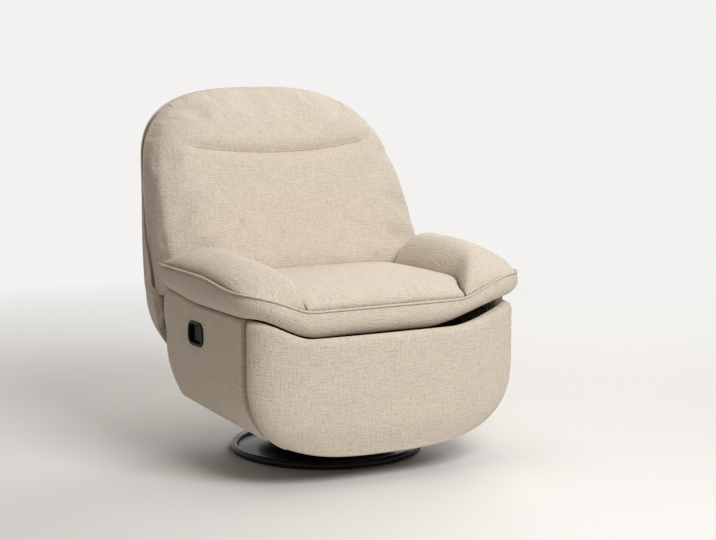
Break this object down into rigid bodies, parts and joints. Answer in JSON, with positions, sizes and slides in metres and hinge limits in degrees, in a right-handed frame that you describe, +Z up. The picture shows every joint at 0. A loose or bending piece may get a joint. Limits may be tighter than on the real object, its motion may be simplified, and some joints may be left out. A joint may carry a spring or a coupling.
{
  "type": "swivel rocker recliner",
  "caption": "Rounded upholstered recliner on a round swivel base that rocks, with a reclining back, a fold-out footrest and a recessed release handle in its side.",
  "frame": {"origin": "centre of the bounding box at floor level", "axes": "+Z up, the sitter faces -Y, +X to the sitter's left, so the release handle is on the -X side"},
  "size_m": [0.88, 0.9333, 1.0153],
  "materials": {
    "upholstery": "chunky cream weave",
    "frame_wood": "plain sawn",
    "black_steel": "satin black",
    "bare_steel": "zinc plated",
    "black_plastic": "satin"
  },
  "bodies": {
    "base": {"base_ring": "black_steel", "base_plate": "black_steel", "lower_race": "bare_steel", "bearing_cage": "bare_steel", "kingpin": "bare_steel", "kingpin_nut": "bare_steel"},
    "turntable": {"upper_race": "bare_steel", "swivel_plate": "black_steel", "rocker_rail_left": "black_steel", "rocker_rail_right": "black_steel", "rock_spring_front_left": "bare_steel", "rock_spring_front_right": "bare_steel", "rock_spring_rear_left": "bare_steel", "rock_spring_rear_right": "bare_steel"},
    "frame": {"rocker_shoe_left": "frame_wood", "rocker_shoe_right": "frame_wood", "cross_tube_front": "black_steel", "cross_tube_rear": "black_steel", "side_plate_left": "black_steel", "side_plate_right": "black_steel", "side_board_left": "frame_wood", "side_board_right": "frame_wood", "seat_rail_front": "frame_wood", "seat_rail_rear": "frame_wood", "seat_springs": "bare_steel", "seat_cushion": "upholstery", "arm_pad_left": "upholstery", "arm_pad_right": "upholstery", "side_panel_left": "upholstery", "side_panel_right": "upholstery", "handle_bezel": "black_plastic", "handle_pin": "bare_steel", "release_cable": "black_plastic"},
    "handle": {"handle_lever": "black_plastic"},
    "rear_links": {"torque_tube": "black_steel", "rear_link_left": "black_steel", "rear_link_right": "black_steel"},
    "front_links": {"front_link_left": "black_steel", "front_link_right": "black_steel"},
    "control_links": {"control_link_left": "black_steel", "control_link_right": "black_steel"},
    "guide_links": {"guide_link_left": "black_steel", "guide_link_right": "black_steel"},
    "footrest": {"footrest_bracket_left": "black_steel", "footrest_bracket_right": "black_steel", "footrest_board": "frame_wood", "footrest_pad": "upholstery"},
    "back": {"back_bracket_left": "black_steel", "back_bracket_right": "black_steel", "back_board": "frame_wood", "back_cushion": "upholstery", "outside_back": "upholstery"}
  },
  "joints": [
    {"name": "swivel", "type": "hinge", "parent": "base", "child": "turntable", "pos_m": [0, -0.0395, 0.0562], "axis": [0, 0, 1], "continuous": true},
    {"name": "rock", "type": "hinge", "parent": "turntable", "child": "frame", "pos_m": [0, -0.0395, 0.1005], "axis": [1, 0, 0], "range_deg": [-7, 7], "stiffness_Nm_per_rad": 1800, "deforming": ["rock_spring_front_left", "rock_spring_front_right", "rock_spring_rear_left", "rock_spring_rear_right"]},
    {"name": "release_handle", "type": "hinge", "parent": "frame", "child": "handle", "pos_m": [-0.402, -0.075, 0.371], "axis": [0, 0, 1], "range_deg": [0, 25], "stiffness_Nm_per_rad": 0.6},
    {"name": "footrest", "type": "hinge", "parent": "frame", "child": "rear_links", "pos_m": [0, -0.3265, 0.163], "axis": [1, 0, 0], "range_deg": [0, 70]},
    {"name": "front_link", "type": "hinge", "parent": "rear_links", "child": "front_links", "pos_m": [0, -0.36557, 0.38458], "axis": [1, 0, 0], "range_deg": [-198.05, 0.05]},
    {"name": "footrest_tilt", "type": "hinge", "parent": "front_links", "child": "footrest", "pos_m": [0, -0.3744, 0.13174], "axis": [1, 0, 0], "range_deg": [-0.05, 38.05]},
    {"name": "control_link", "type": "hinge", "parent": "frame", "child": "control_links", "pos_m": [0, -0.3439, 0.10267], "axis": [1, 0, 0], "range_deg": [-0.05, 57.44]},
    {"name": "guide_link", "type": "hinge", "parent": "rear_links", "child": "guide_links", "pos_m": [0, -0.33551, 0.37709], "axis": [1, 0, 0], "range_deg": [-188.61, 0.05]},
    {"name": "recline", "type": "hinge", "parent": "frame", "child": "back", "pos_m": [0, 0.1955, 0.4], "axis": [-1, 0, 0], "range_deg": [0, 35]}
  ],
  "couplings": [
    {"joint": "front_link", "follows": "footrest", "ratio": -2.8286},
    {"joint": "footrest_tilt", "follows": "footrest", "ratio": 0.54286},
    {"joint": "control_link", "follows": "footrest", "ratio": 0.81988},
    {"joint": "guide_link", "follows": "footrest", "ratio": -2.6937}
  ]
}
